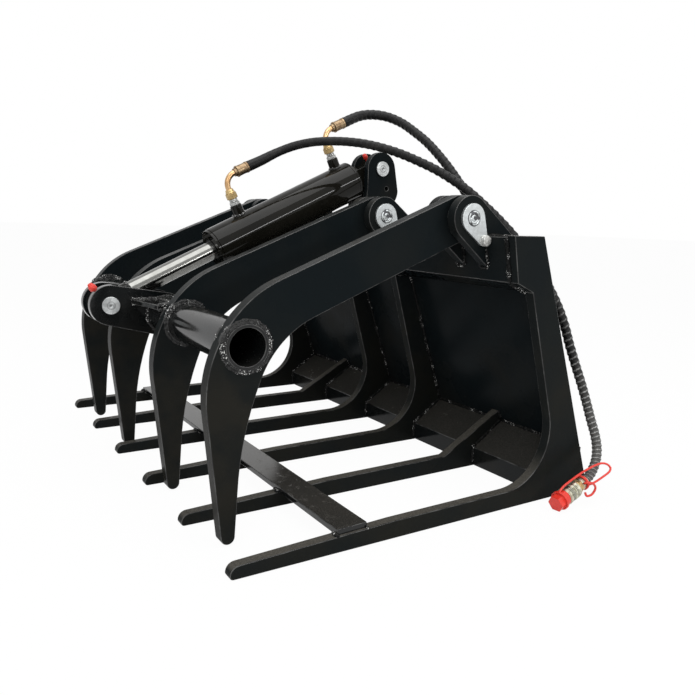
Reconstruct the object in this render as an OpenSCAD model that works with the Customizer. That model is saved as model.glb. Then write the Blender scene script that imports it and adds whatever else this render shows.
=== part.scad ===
// Hydraulic grapple for a compact loader: six lower tines welded to a leaning back frame,
// and a four-armed upper jaw that one cylinder opens and closes.
// Millimetres. -Y is the front, where the tine tips point, +X is the right as seen from the front
// and +Z is up.
// The origin is on the ground, under the middle of the grapple.

/* [Tines] */
// Distance between two neighbouring tines
tine_pitch = 210; // [180:1:240]
// Thickness of the tine plates
tine_t = 20; // [14:1:26]
// Height of a tine behind its rounded tip
tine_tip_h = 21; // [18:1:26]
// Height of a tine where its quick taper ends
tine_mid_h = 31; // [27:1:36]
// Height of a tine where the tall plates start to curve up
tine_root_h = 33; // [28:1:40]
// Distance from the tip to the end of the quick taper
taper_len = 290; // [240:5:340]
// Distance from the tip to the start of the big inner curve
tine_straight = 548; // [520:1:570]
// Radius of the big inner curve of the tall plates
inner_r = 105; // [90:1:115]
// Radius of the upper corner at a tine's tip
tip_top_r = 15; // [8:1:17]
// Distance from the tips to the front cross strip
strip_y = 184; // [150:1:220]
// Width of the front cross strip
strip_w = 57; // [40:1:75]
// Thickness of the front cross strip
strip_t = 10; // [6:1:14]

/* [Rear frame] */
// Height of the outer tall plates
frame_h = 503; // [485:1:515]
// Forward lean of the back plate, in degrees
rear_lean = 19.6; // [18:0.1:21]
// Forward lean of the tall plates' front edge, in degrees
limb_lean = 16.4; // [15:0.1:18]
// Distance from the tips to the rear upper corner
rear_top_y = 598; // [590:1:606]
// Front to rear width of the outer plates at the top
top_w = 73; // [66:1:76]
// Height of the top cross member's front wall
member_front_h = 80; // [72:1:88]
// Rearward lean of the front wall, foot to head
member_lean = 16; // [10:1:20]
// Fall from the front wall's foot to the member's lowest line
member_drop = 17; // [12:1:24]
// Wall of the top cross member
member_wall = 8; // [5:1:10]
// Thickness of the back plate
back_t = 10; // [6:1:12]
// Thickness of the deck plates
deck_t = 8; // [5:1:10]
// Distance from the tips to the deck's front lip
lip_y = 655; // [640:1:665]
// Height of the deck's front lip
lip_h = 42; // [36:1:48]
// Height of the deck where it meets the back plate
deck_rear_h = 94; // [84:1:104]
// Distance from the tips to the foot of the short tines' gussets
gusset_y = 577; // [565:1:590]
// Height of the gussets at the back plate
gusset_h = 116; // [108:1:130]

/* [Upper jaw] */
// Distance of the outer arms from the middle
outer_arm_x = 420; // [410:1:430]
// Distance of the inner arms from the middle
inner_arm_x = 153; // [145:1:160]
// Thickness of the arm plates
arm_t = 25; // [19:1:28]
// Width of an arm between the pivot and the elbow
arm_w = 81; // [72:1:84]
// Slope of the straight part of an arm, in degrees
arm_slope = 22.3; // [21:0.1:24]
// Distance from the pivot to the start of the outer curve
outer_run = 374; // [365:1:385]
// Radius of the outer curve
outer_r = 200; // [190:1:210]
// Distance from the pivot to the start of the inner curve
inner_run = 341; // [335:1:350]
// Radius of the tight part of the inner curve
inner_curve_r = 170; // [160:1:180]
// Height of the arm tips above the ground
tip_clear = 3.5; // [3:0.5:12]
// Outer diameter of the round cross tube
tube_d = 73; // [60:1:76]
// Wall of the cross tube
tube_wall = 6; // [4:1:8]
// Distance from the tips to the middle of the cross tube
tube_y = 71; // [68:1:78]
// Height of the middle of the cross tube
tube_z = 324; // [318:1:332]
// How far the cross tube stands out of the outer arms
tube_proud = 5; // [3:1:10]

/* [Pivots] */
// Distance from the tips to the jaw's pivot axis
pivot_y = 490; // [486:1:492]
// Height of the jaw's pivot axis
pivot_z = 531; // [529:1:536]
// Diameter of all pins
pin_d = 25.4; // [22:0.1:28]
// Thickness of the lug plates
lug_t = 20; // [14:1:22]
// Radius of an arm lug around its pin
lug_r = 40; // [34:1:42]
// Free width between the two lugs of a pair
lug_gap = 43; // [38:1:46]
// Outer diameter of the hub tube in each arm
hub_d = 52; // [44:1:58]
// Radius of a keeper plate around its pin
keeper_r = 26; // [22:1:28]
// Radius of a keeper plate around its bolt
keeper_foot_r = 10; // [8:1:10]
// Thickness of a keeper plate
keeper_t = 6; // [4:1:8]
// Rearward distance from a pin to its keeper bolt
keeper_dy = 26; // [23:1:26]
// Downward distance from a pin to its keeper bolt
keeper_dz = 39; // [36:1:42]
// Across flats of the keeper bolts
bolt_af = 17; // [15:1:17]

/* [Cylinder] */
// Distance from the tips to the rod pin, negative in front of them
rod_pin_y = -36; // [-38:1:-34]
// Height of the rod pin
rod_pin_z = 346; // [343:1:350]
// Distance from the tips to the cylinder's base pin
base_pin_y = 586; // [583:1:589]
// Height of the cylinder's base pin
base_pin_z = 639; // [635:1:644]
// Outer diameter of the barrel
barrel_d = 87; // [82:1:88]
// Bore of the barrel
barrel_bore = 76; // [70:1:77]
// Distance from the base pin to the front face of the gland
barrel_len = 441; // [430:1:446]
// Diameter of the piston rod
rod_d = 38; // [32:1:39]
// Radius of a clevis plate around the rod pin
clevis_r = 39; // [35:1:41]
// Radius of a clevis plate around the cross tube
clevis_tube_r = 44; // [42:1:48]
// Free width between the two clevis plates, and between the two cylinder lugs
clevis_gap = 44; // [43:1:46]
// Thickness of the clevis plates and of the cylinder lugs
clevis_t = 16; // [12:1:17]
// Outer radius of the rod eye
rod_eye_r = 31; // [29:0.5:31.5]
// Outer radius of the base eye
base_eye_r = 25; // [22:0.5:28]
// Radius of a cylinder lug around the base pin
base_lug_r = 38; // [34:1:40]

/* [Fittings] */
// Distance from the base pin to the rear port
rear_port = 95; // [90:1:100]
// Distance from the base pin to the front port
front_port = 355; // [350:1:360]
// Diameter of a port boss
boss_d = 25; // [22:1:28]
// Height of a port boss over the barrel
boss_h = 20; // [16:1:22]
// Across flats of a port adapter
adapter_af = 20; // [18:1:24]
// Height of a port adapter
adapter_h = 14; // [12:1:15]
// Across flats of a swivel nut
nut_af = 23; // [19:1:26]
// Height of a swivel nut
nut_h = 21; // [18:1:22]
// Diameter of the bent tube of a hose end
bent_d = 12; // [10:0.5:14]
// Bend radius of a hose end, to the tube's middle
bent_r = 25; // [23:1:27]
// Diameter of a crimped ferrule
ferrule_d = 24; // [22:1:27]
// Length of a crimped ferrule
ferrule_len = 34; // [30:1:34]

/* [Hoses and couplers] */
// Outer diameter of a hose
hose_d = 18.6; // [16:0.1:19]
// Diameter of a coupler's sleeve
sleeve_d = 32; // [31:0.5:34]
// Length of a coupler's sleeve
sleeve_len = 34; // [30:1:38]
// Across flats of a dust cap's head
cap_af = 27; // [24:0.5:28]
// Length of a dust cap's head
cap_head_len = 13; // [10:1:16]
// Length of a dust cap's collar
cap_collar_len = 15; // [14:1:18]

/* [Quick attach] */
// Half width of the hook lip and the lock ledge
attach_half_w = 490; // [450:5:505]
// Height of the root of the hook lip
hook_z = 440; // [420:1:450]
// Length of the hook lip
hook_len = 56; // [44:1:60]
// Thickness of the hook lip
hook_t = 10; // [8:1:14]
// Fall of the hook lip towards the rear, in degrees
hook_drop = 32; // [28:1:36]
// Height of the lock ledge's lower face
ledge_z = 57; // [50:1:64]
// Thickness of the lock ledge
ledge_t = 12; // [8:1:16]
// Reach of the lock ledge behind the back plate
ledge_reach = 52; // [46:1:56]
// Distance between the two lock slots
slot_pitch = 640; // [600:5:680]
// End to end length of a lock slot
slot_len = 60; // [50:1:80]
// Width of a lock slot
slot_w = 26; // [20:1:28]

/* [Hidden] */
$fn = 64;

// Number of straight steps in the arcs of the plate outlines
steps = 16;
fine_steps = 26;

// Small clearances
fit = 0.1;          // gap of a part that is pressed or welded in
running = 0.05;     // radial gap of a pin in its bore
side_gap = 0.5;     // end gap of a part between two plates
seat_gap = 0.3;     // gap between a moving piece and its seat
overrun = 5;        // how far a cutter passes a face

// Corners of the plates
tip_foot_r = 6;
heel_cut = 8;
top_reveal = 3;
lip_clear = 3;
lug_foot_drop = 57;
lug_foot_set = 2;

function arc(c, r, from, to, n) =
    [for (i = [0:n]) let (a = from + (to - from) * i / n) c + r * [cos(a), sin(a)]];
function angle_of(v) = atan2(v[1], v[0]);
// Angle, seen from the middle of a circle, at which a line from an outside point touches it
function touch(c, r, p, side) = angle_of(p - c) + side * acos(r / norm(p - c));
// Outline round two circles, as an open belt would run
function belt(c1, r1, c2, r2, n) =
    let (base = angle_of(c2 - c1), spread = acos((r1 - r2) / norm(c2 - c1)))
    concat(arc(c1, r1, base + spread, base + 360 - spread, n),
           arc(c2, r2, base - spread, base + spread, n));
// Crossing of the lines a-b and c-d
function cross_point(a, b, c, d) =
    let (u = b - a, v = d - c, w = c - a, k = u[0] * v[1] - u[1] * v[0])
    a + u * ((w[0] * v[1] - w[1] * v[0]) / k);
// The same closed outline, drawn a wall thickness further in
function inset(p, t) =
    let (n = len(p),
         edge = [for (i = [0:n - 1]) let (a = p[i], b = p[(i + 1) % n], u = (b - a) / norm(b - a))
                 [a + t * [-u[1], u[0]], b + t * [-u[1], u[0]]]])
    [for (i = [0:n - 1]) let (e = edge[(i + n - 1) % n], f = edge[i])
     cross_point(e[0], e[1], f[0], f[1])];

// Rear edge of the tall plates, and the front face of the back plate
function rear_y(z) = rear_top_y + (frame_h - z) * tan(rear_lean);
function back_y(z) = rear_y(z) - back_t / cos(rear_lean);

// Front to rear extent, from the clevis to the lock ledge
front_reach = rod_pin_y - clevis_r;
rear_reach = rear_y(ledge_z + ledge_t) + ledge_reach;
mid_y = (front_reach + rear_reach) / 2;

// Places of the six tines, as shares of their pitch, and the free half width between the outer two
pitch_shares = [-2.5, -1.5, -0.5, 0.5, 1.5, 2.5];
frame_inner_x = pitch_shares[5] * tine_pitch - tine_t / 2;
arm_places = [-outer_arm_x, -inner_arm_x, inner_arm_x, outer_arm_x];

// Named points of the side view, as distance from the tips and height
pivot = [pivot_y, pivot_z];
rod_pin_p = [rod_pin_y, rod_pin_z];
base_pin_p = [base_pin_y, base_pin_z];
tube_p = [tube_y, tube_z];
curve_c = [tine_straight, tine_root_h + inner_r];
curve_end = curve_c + inner_r * [cos(limb_lean), sin(limb_lean)];
member_head = [rear_top_y - top_w, frame_h - top_reveal];
member_foot = [member_head[0] + member_lean, member_head[1] - member_front_h];
member_low_z = member_foot[1] - member_drop;
limb_top = [curve_end[0] - (member_low_z - curve_end[1]) * tan(limb_lean), member_low_z];

// A plate that stands in the side view's plane, centred on x
module side_plate(points, x, t) {
    translate([x - t / 2, -mid_y, 0]) rotate([90, 0, 90]) linear_extrude(t) polygon(points);
}
// A round bar or a bore that runs across, between two x places
module across(p, x0, x1, r) {
    translate([x0, p[0] - mid_y, p[1]]) rotate([0, 90, 0]) cylinder(r = r, h = x1 - x0);
}
module mirrored(s) { mirror([s < 0 ? 1 : 0, 0, 0]) children(); }

// Lower tines

// Upper edge and tip of a tine, from its root to the underside of the tip
tine_front = concat(
    [[taper_len, tine_mid_h]],
    arc([tip_top_r, tine_tip_h - tip_top_r], tip_top_r, 90, 180, steps / 2),
    arc([tip_foot_r, tip_foot_r], tip_foot_r, 180, 270, steps / 4));
limb_curve = concat([limb_top], arc(curve_c, inner_r, limb_lean, -90, fine_steps));

module side_tine(side) {
    color([0.05, 0.05, 0.055])
    side_plate(concat([[rear_y(0) - heel_cut, 0], [rear_y(heel_cut), heel_cut],
                       [rear_top_y, frame_h], [member_head[0], frame_h], member_foot],
                      limb_curve, tine_front),
               side * pitch_shares[5] * tine_pitch, tine_t);
}
module rib_tine(side) {
    color([0.05, 0.05, 0.055])
    side_plate(concat([[back_y(0), 0], [back_y(member_low_z), member_low_z]],
                      limb_curve, tine_front),
               side * pitch_shares[3] * tine_pitch, tine_t);
}
module short_tine(side) {
    color([0.05, 0.05, 0.055])
    side_plate(concat([[back_y(0), 0], [back_y(gusset_h), gusset_h], [gusset_y, tine_root_h]],
                      tine_front),
               side * pitch_shares[4] * tine_pitch, tine_t);
}
module side_tine_left() { side_tine(-1); }
module side_tine_right() { side_tine(1); }
module rib_tine_left() { rib_tine(-1); }
module rib_tine_right() { rib_tine(1); }
module short_tine_left() { short_tine(-1); }
module short_tine_right() { short_tine(1); }

// Height of the tines' upper edge under the strip
function tine_top(y) = tine_tip_h + (tine_mid_h - tine_tip_h) * (y - tip_top_r) / (taper_len - tip_top_r);
module front_strip() {
    low = tine_top(strip_y);
    high = tine_top(strip_y + strip_w);
    color([0.05, 0.05, 0.055])
    side_plate([[strip_y, low], [strip_y + strip_w, high],
                [strip_y + strip_w, high + strip_t], [strip_y, low + strip_t]],
               0, 2 * (frame_inner_x + tine_t) - tine_t / 2);
}

// Rear frame

// Bent deck plate in each of the five bays, with a short lip at its front
module deck_plates() {
    rise = angle_of([back_y(deck_rear_h) - lip_y, deck_rear_h - lip_h]);
    top_under = deck_rear_h - deck_t / cos(rise);
    knee = lip_h - deck_t * tan(rise / 2) - deck_t * (1 - tan(rise / 2));
    section = [[lip_y, lip_clear], [lip_y + deck_t, lip_clear], [lip_y + deck_t, knee],
               [back_y(top_under), top_under], [back_y(deck_rear_h), deck_rear_h], [lip_y, lip_h]];
    color([0.05, 0.05, 0.055])
    for (bay = [-2:2]) side_plate(section, bay * tine_pitch, tine_pitch - tine_t);
}
module back_plate() {
    color([0.05, 0.05, 0.055])
    side_plate([[back_y(lip_clear), lip_clear], [rear_y(lip_clear), lip_clear],
                [rear_y(member_head[1]), member_head[1]], [back_y(member_head[1]), member_head[1]]],
               0, 2 * frame_inner_x);
}
member_outline = [member_head, member_foot, limb_top, [back_y(member_low_z), member_low_z],
                  [back_y(member_head[1]), member_head[1]]];
module top_member() {
    color([0.05, 0.05, 0.055])
    difference() {
        side_plate(member_outline, 0, 2 * frame_inner_x);
        side_plate(inset(member_outline, member_wall), 0, 2 * (frame_inner_x + overrun));
    }
}

// Arm pivots, numbered from the left

lug_half = lug_gap / 2 + lug_t / 2;
// A lug sits on the member's top and laps over its front wall
lug_low = member_head + (member_foot - member_head) * lug_foot_drop / member_front_h;
lug_rear = [rear_top_y - lug_foot_set, member_head[1]];
lug_outline = concat(
    arc(pivot, lug_r, touch(pivot, lug_r, lug_rear, 1), touch(pivot, lug_r, lug_low, -1) + 360, fine_steps),
    [lug_low, member_head, lug_rear]);
module arm_lugs(k) {
    bolt = pivot + [keeper_dy, -keeper_dz];
    x = arm_places[k - 1];
    color([0.05, 0.05, 0.055])
    for (s = [-1, 1]) difference() {
        side_plate(lug_outline, x + s * lug_half, lug_t);
        across(pivot, x - lug_gap - lug_t, x + lug_gap + lug_t, pin_d / 2 + running);
        if (s > 0) across(bolt, x, x + lug_gap + lug_t, bolt_shank_r + fit);
    }
}
module arm_lugs_1() { arm_lugs(1); }
module arm_lugs_2() { arm_lugs(2); }
module arm_lugs_3() { arm_lugs(3); }
module arm_lugs_4() { arm_lugs(4); }

// Flag pin: a pin welded into a teardrop keeper plate that a bolt holds to the outer lug
lug_face = lug_gap / 2 + lug_t;
bolt_shank_r = 6;
bolt_head_t = 8;
washer_t = 2;
washer_r = 10;
pin_end = 4;
module arm_pin(k) {
    x = arm_places[k - 1];
    foot = pivot + [keeper_dy, -keeper_dz];
    color([0.72, 0.73, 0.74])
    difference() {
        union() {
            side_plate(belt(pivot, keeper_r, foot, keeper_foot_r, steps),
                       x + lug_face + keeper_t / 2, keeper_t);
            across(pivot, x - lug_face - pin_end, x + lug_face, pin_d / 2);
        }
        across(foot, x + lug_face - overrun, x + lug_face + keeper_t + overrun, bolt_shank_r + fit);
    }
}
module arm_pin_1() { arm_pin(1); }
module arm_pin_2() { arm_pin(2); }
module arm_pin_3() { arm_pin(3); }
module arm_pin_4() { arm_pin(4); }

module keeper_bolts() {
    foot = pivot + [keeper_dy, -keeper_dz];
    head_x = lug_face + keeper_t + washer_t;
    color([0.75, 0.76, 0.78])
    for (x = arm_places) {
        across(foot, x + lug_gap / 2, x + head_x, bolt_shank_r);
        across(foot, x + head_x - washer_t, x + head_x, washer_r);
        translate([x + head_x, foot[0] - mid_y, foot[1]]) rotate([0, 90, 0])
            cylinder(d = bolt_af / cos(30), h = bolt_head_t, $fn = 6);
    }
}

// Cylinder base

cyl_half = clevis_gap / 2 + clevis_t / 2;
cyl_face = clevis_gap / 2 + clevis_t;
belly_drop = 48;
belly_set = 7;
belly_r = 41;
lug_hole_r = 5;
lug_hole_dy = 15;
lug_hole_dz = 44;
base_foot_front = 12;
base_belly = base_pin_p + [belly_set, -belly_drop];
base_lug_outline = concat(
    arc(base_pin_p, base_lug_r, 8, 180, steps),
    [[base_pin_y - base_lug_r, base_belly[1]],
     [member_head[0] + base_foot_front, member_head[1]],
     lug_rear],
    arc(base_belly, belly_r, -45, 0, steps / 2));
module cylinder_lugs() {
    hole = base_pin_p + [lug_hole_dy, -lug_hole_dz];
    color([0.05, 0.05, 0.055])
    for (s = [-1, 1]) difference() {
        side_plate(base_lug_outline, s * cyl_half, clevis_t);
        across(base_pin_p, -cyl_face - overrun, cyl_face + overrun, pin_d / 2 + running);
        across(hole, -cyl_face - overrun, cyl_face + overrun, lug_hole_r);
    }
}

// A cylinder pin has a flat head on the right and a retaining ring on the left
head_r = 17;
head_t = 5;
dimple_r = 3;
dimple_depth = 2;
ring_r = 17;
ring_t = 3;
ring_set = 1;
tail = 9;
module headed_pin(p) {
    difference() {
        union() {
            across(p, -cyl_face - tail, cyl_face, pin_d / 2);
            across(p, cyl_face, cyl_face + head_t, head_r);
        }
        across(p, cyl_face + head_t - dimple_depth, cyl_face + head_t + overrun, dimple_r);
    }
}
module pin_ring(p) {
    difference() {
        across(p, -cyl_face - ring_set - ring_t, -cyl_face - ring_set, ring_r);
        across(p, -cyl_face - tail - overrun, 0, pin_d / 2 + fit);
    }
}
module base_pin() { color([0.78, 0.79, 0.8]) headed_pin(base_pin_p); }
module rod_pin() { color([0.78, 0.79, 0.8]) headed_pin(rod_pin_p); }
module base_pin_ring() { color([0.3, 0.3, 0.3]) pin_ring(base_pin_p); }
module rod_pin_ring() { color([0.3, 0.3, 0.3]) pin_ring(rod_pin_p); }

// Quick attach on the rear of the back plate

module hook_lip() {
    root = [rear_y(hook_z), hook_z];
    low = [rear_y(hook_z - hook_t / cos(hook_drop)), hook_z - hook_t / cos(hook_drop)];
    out = [cos(hook_drop), -sin(hook_drop)];
    color([0.05, 0.05, 0.055])
    side_plate([low, low + hook_len * out, low + hook_len * out + hook_t * [sin(hook_drop), cos(hook_drop)],
                root], 0, 2 * attach_half_w);
}
module lock_ledge() {
    color([0.05, 0.05, 0.055])
    difference() {
        side_plate([[rear_y(ledge_z), ledge_z], [rear_reach, ledge_z],
                    [rear_reach, ledge_z + ledge_t], [rear_y(ledge_z + ledge_t), ledge_z + ledge_t]],
                   0, 2 * attach_half_w);
        for (s = [-1, 1]) translate([s * slot_pitch / 2, slot_y, ledge_z - overrun])
            linear_extrude(ledge_t + 2 * overrun) {
                square([slot_len - slot_w, slot_w], center = true);
                for (e = [-1, 1]) translate([e * (slot_len - slot_w) / 2, 0]) circle(d = slot_w);
            }
    }
}
slot_y = rear_reach - ledge_reach / 2 - mid_y;

// Upper jaw

// An arm runs from the pivot down the slope, round the elbow and down to its tip
heading = 180 + arm_slope;
beam = [cos(heading), sin(heading)];
inward = [-beam[1], beam[0]];
outer_turn = 276;
tight_turn = 248;
inner_turn = 267;
gentle_curve_r = 560;
outer_c = pivot + outer_run * beam + (outer_r - arm_w / 2) * inward;
outer_end = outer_c + outer_r * [cos(outer_turn - 90), sin(outer_turn - 90)];
tight_c = pivot + inner_run * beam + (inner_curve_r + arm_w / 2) * inward;
gentle_c = tight_c - (gentle_curve_r - inner_curve_r) * [cos(tight_turn - 90), sin(tight_turn - 90)];
inner_end = gentle_c + gentle_curve_r * [cos(inner_turn - 90), sin(inner_turn - 90)];
// Half the width of the tip, where the two edges come down to it
function edge_y(end, turn, z) = end[0] + (z - end[1]) * cos(turn) / sin(turn);
tip_half = (edge_y(inner_end, inner_turn, tip_clear) - edge_y(outer_end, outer_turn, tip_clear)) / 2;
tip_r = tip_half * cos((outer_turn - inner_turn) / 2);
tip_c = [(edge_y(inner_end, inner_turn, tip_clear + tip_r) + edge_y(outer_end, outer_turn, tip_clear + tip_r)) / 2,
         tip_clear + tip_r];
arm_outline = concat(
    arc(pivot, arm_w / 2, heading - 270, heading - 90, fine_steps),
    arc(outer_c, outer_r, heading - 90, outer_turn - 90, fine_steps),
    arc(tip_c, tip_r, outer_turn - 90, inner_turn + 90, steps),
    arc(gentle_c, gentle_curve_r, inner_turn - 90, tight_turn - 90, steps / 2),
    arc(tight_c, inner_curve_r, tight_turn - 90, heading - 90, steps));
module arm(k) {
    x = arm_places[k - 1];
    reach = arm_t + overrun;
    color([0.05, 0.05, 0.055])
    difference() {
        side_plate(arm_outline, x, arm_t);
        across(pivot, x - reach, x + reach, hub_d / 2 + fit);
        across(tube_p, x - reach, x + reach, tube_d / 2 + fit);
    }
}
module arm_1() { arm(1); }
module arm_2() { arm(2); }
module arm_3() { arm(3); }
module arm_4() { arm(4); }

module arm_hubs() {
    half = lug_gap / 2 - side_gap;
    color([0.05, 0.05, 0.055])
    for (x = arm_places) difference() {
        across(pivot, x - half, x + half, hub_d / 2);
        across(pivot, x - half - overrun, x + half + overrun, pin_d / 2 + running);
    }
}
module cross_tube() {
    half = outer_arm_x + arm_t / 2 + tube_proud;
    color([0.05, 0.05, 0.055])
    difference() {
        across(tube_p, -half, half, tube_d / 2);
        across(tube_p, -half - overrun, half + overrun, tube_d / 2 - tube_wall);
    }
}
module clevis_plates() {
    color([0.05, 0.05, 0.055])
    for (s = [-1, 1]) difference() {
        side_plate(belt(rod_pin_p, clevis_r, tube_p, clevis_tube_r, fine_steps), s * cyl_half, clevis_t);
        across(rod_pin_p, -cyl_face - overrun, cyl_face + overrun, pin_d / 2 + running);
        across(tube_p, -cyl_face - overrun, cyl_face + overrun, tube_d / 2 + fit);
    }
}
// Flat gussets on the front of the tube, between the clevis and the inner arms
gusset_t = 9;
gusset_top_drop = 4;
gusset_front = 3;
gusset_arm_front = 23;
module gusset_plates() {
    top = tube_z + tube_d / 2 - gusset_top_drop;
    arm_face = inner_arm_x - arm_t / 2;
    color([0.05, 0.05, 0.055])
    for (s = [-1, 1]) difference() {
        mirrored(s) translate([0, -mid_y, top - gusset_t]) linear_extrude(gusset_t)
            polygon([[cyl_face, gusset_front], [arm_face, gusset_arm_front],
                     [arm_face, tube_y], [cyl_face, tube_y]]);
        across(tube_p, -inner_arm_x, inner_arm_x, tube_d / 2 + fit);
    }
}

// Cylinder, drawn along +Z from the base pin, with +Y towards its ports

stroke_v = rod_pin_p - base_pin_p;
cyl_len = norm(stroke_v);
cyl_angle = atan2(-stroke_v[0], stroke_v[1]);
module on_cylinder() {
    translate([0, base_pin_y - mid_y, base_pin_z]) rotate([cyl_angle, 0, 0]) children();
}
cap_from = 62;
cap_bevel = 5;
cap_nose_r = 35;
cap_t = 10;
plug_len = 6;
neck_h = 40;
gland_len = 26;
gland_lip = 6;
gland_r = 42;
wiper_len = 3;
wiper_r = 23;
piston_len = 32;
piston_back = 30;
eye_neck_r = 20.5;
eye_neck_len = 20;
eye_play = 10.7;     // the rod eye floats on its pin, which swings on the jaw's arc
rod_eye_bore = pin_d / 2 + eye_play;
eye_half = clevis_gap / 2 - side_gap;
barrel_front = barrel_len - gland_lip;

module barrel_tube() {
    color([0.06, 0.06, 0.065])
    on_cylinder() difference() {
        translate([0, 0, cap_from + cap_t]) cylinder(d = barrel_d, h = barrel_front - cap_from - cap_t);
        translate([0, 0, cap_from]) cylinder(d = barrel_bore, h = barrel_len - cap_from);
        for (at = [rear_port, front_port]) translate([0, 0, at]) rotate([-90, 0, 0])
            cylinder(r = port_r, h = barrel_d);
    }
}
// The neck of the base eye is narrow, so that it swings between the lugs
module base_cap() {
    color([0.06, 0.06, 0.065])
    on_cylinder() difference() {
        union() {
            translate([0, 0, cap_from]) cylinder(d = barrel_bore - 2 * fit, h = cap_t + plug_len);
            translate([0, 0, cap_from]) cylinder(r1 = cap_nose_r, r2 = barrel_d / 2, h = cap_bevel);
            translate([0, 0, cap_from + cap_bevel]) cylinder(d = barrel_d, h = cap_t - cap_bevel);
            translate([-eye_half, -neck_h / 2, 0]) cube([2 * eye_half, neck_h, cap_from + fit]);
        }
        rotate([0, 90, 0]) cylinder(r = base_eye_r + fit, h = clevis_gap, center = true);
    }
}
module base_eye() {
    color([0.06, 0.06, 0.065])
    on_cylinder() rotate([0, 90, 0]) difference() {
        cylinder(r = base_eye_r, h = 2 * eye_half, center = true);
        cylinder(r = pin_d / 2 + running, h = clevis_gap + overrun, center = true);
    }
}
module gland() {
    color([0.06, 0.06, 0.065])
    on_cylinder() difference() {
        union() {
            translate([0, 0, barrel_front]) cylinder(r = gland_r, h = gland_lip);
            translate([0, 0, barrel_front - gland_len]) cylinder(d = barrel_bore - 2 * fit, h = gland_len);
        }
        translate([0, 0, barrel_front - gland_len - overrun])
            cylinder(r = rod_d / 2 + running, h = gland_len + gland_lip + 2 * overrun);
        translate([0, 0, barrel_len - wiper_len]) cylinder(r = wiper_r, h = wiper_len + overrun);
    }
}
module wiper_ring() {
    color([0.1, 0.1, 0.1])
    on_cylinder() difference() {
        translate([0, 0, barrel_len - wiper_len]) cylinder(r = wiper_r - fit, h = wiper_len + wiper_len / 2);
        translate([0, 0, barrel_len - wiper_len - overrun]) cylinder(r = rod_d / 2 + running, h = 4 * overrun);
    }
}

// One port stack stands on the barrel's upper side: boss, adapter, nut, bent tube and ferrule
port_r = 5;
stack_bore = 4;
adapter_z = barrel_d / 2 + boss_h;
nut_z = adapter_z + adapter_h;
bent_straight = 1.5;
bend_z = nut_z + nut_h + bent_straight;
module on_ports() {
    for (at = [rear_port, front_port])
        on_cylinder() translate([0, 0, at]) rotate([-90, 0, 0]) children();
}
module port_bosses() {
    color([0.06, 0.06, 0.065])
    on_ports() difference() {
        cylinder(d = boss_d, h = adapter_z);
        translate([0, 0, -overrun]) cylinder(r = port_r, h = adapter_z + 2 * overrun);
        rotate([90, 0, 0]) cylinder(d = barrel_d + 2 * fit, h = boss_d + overrun, center = true);
    }
}
adapter_waist = 3;
adapter_collar = 2;
module port_adapters() {
    color([0.75, 0.76, 0.78])
    on_ports() difference() {
        union() {
            translate([0, 0, adapter_z]) cylinder(d = adapter_af / cos(30), h = adapter_h - adapter_collar, $fn = 6);
            translate([0, 0, nut_z - adapter_collar]) cylinder(d = adapter_af - adapter_waist, h = adapter_collar);
        }
        translate([0, 0, adapter_z - overrun]) cylinder(r = stack_bore, h = adapter_h + 2 * overrun);
    }
}
module swivel_nuts() {
    color([0.78, 0.66, 0.4])
    on_ports() difference() {
        translate([0, 0, nut_z]) cylinder(d = nut_af / cos(30), h = nut_h, $fn = 6);
        translate([0, 0, nut_z - overrun]) cylinder(r = stack_bore, h = nut_h + 2 * overrun);
    }
}
// In the port's frame +Z points out of the barrel and +Y towards the base pin
module bent_tubes() {
    color([0.78, 0.62, 0.42])
    on_ports() {
        translate([0, 0, nut_z + nut_h]) difference() {
            cylinder(d = bent_d, h = bent_straight);
            translate([0, 0, -overrun]) cylinder(r = stack_bore, h = bent_straight + 2 * overrun);
        }
        translate([0, bent_r, bend_z]) rotate([90, 0, 90]) rotate([0, 0, 90])
            rotate_extrude(angle = 90) translate([bent_r, 0]) difference() {
                circle(d = bent_d);
                circle(r = stack_bore);
            }
    }
}
ferrule_step = 6;
module ferrules() {
    color([0.75, 0.68, 0.45])
    on_ports() translate([0, bent_r, bend_z + bent_r]) rotate([-90, 0, 0]) difference() {
        union() {
            cylinder(d = ferrule_d - ferrule_step, h = ferrule_step);
            translate([0, 0, ferrule_step]) cylinder(d = ferrule_d, h = ferrule_len - ferrule_step);
        }
        translate([0, 0, -overrun]) cylinder(r = stack_bore, h = ferrule_len + 2 * overrun);
    }
}

// Grease nipples under red caps, aimed up and forward from the eyes
nipple_r = 4;
nipple_len = 7;
grease_cap_r = 7.5;
grease_cap_len = 15;
grease_aim = 128;
module grease_cap(p, eye_r, aim) {
    color([0.85, 0.12, 0.06])
    translate([0, p[0] - mid_y, p[1]]) rotate([aim - 90, 0, 0]) difference() {
        union() {
            cylinder(r = nipple_r, h = eye_r + nipple_len);
            translate([0, 0, eye_r + nipple_len / 2]) cylinder(r = grease_cap_r, h = grease_cap_len / 2);
            translate([0, 0, eye_r + nipple_len / 2 + grease_cap_len / 2])
                cylinder(r1 = grease_cap_r, r2 = nipple_r, h = grease_cap_len / 2);
        }
        rotate([0, 90, 0]) cylinder(r = eye_r + fit, h = clevis_gap, center = true);
    }
}
module base_grease_cap() { grease_cap(base_pin_p, base_eye_r, grease_aim); }
module rod_grease_cap() { grease_cap(rod_pin_p, rod_eye_r, grease_aim); }

// Piston rod

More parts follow.
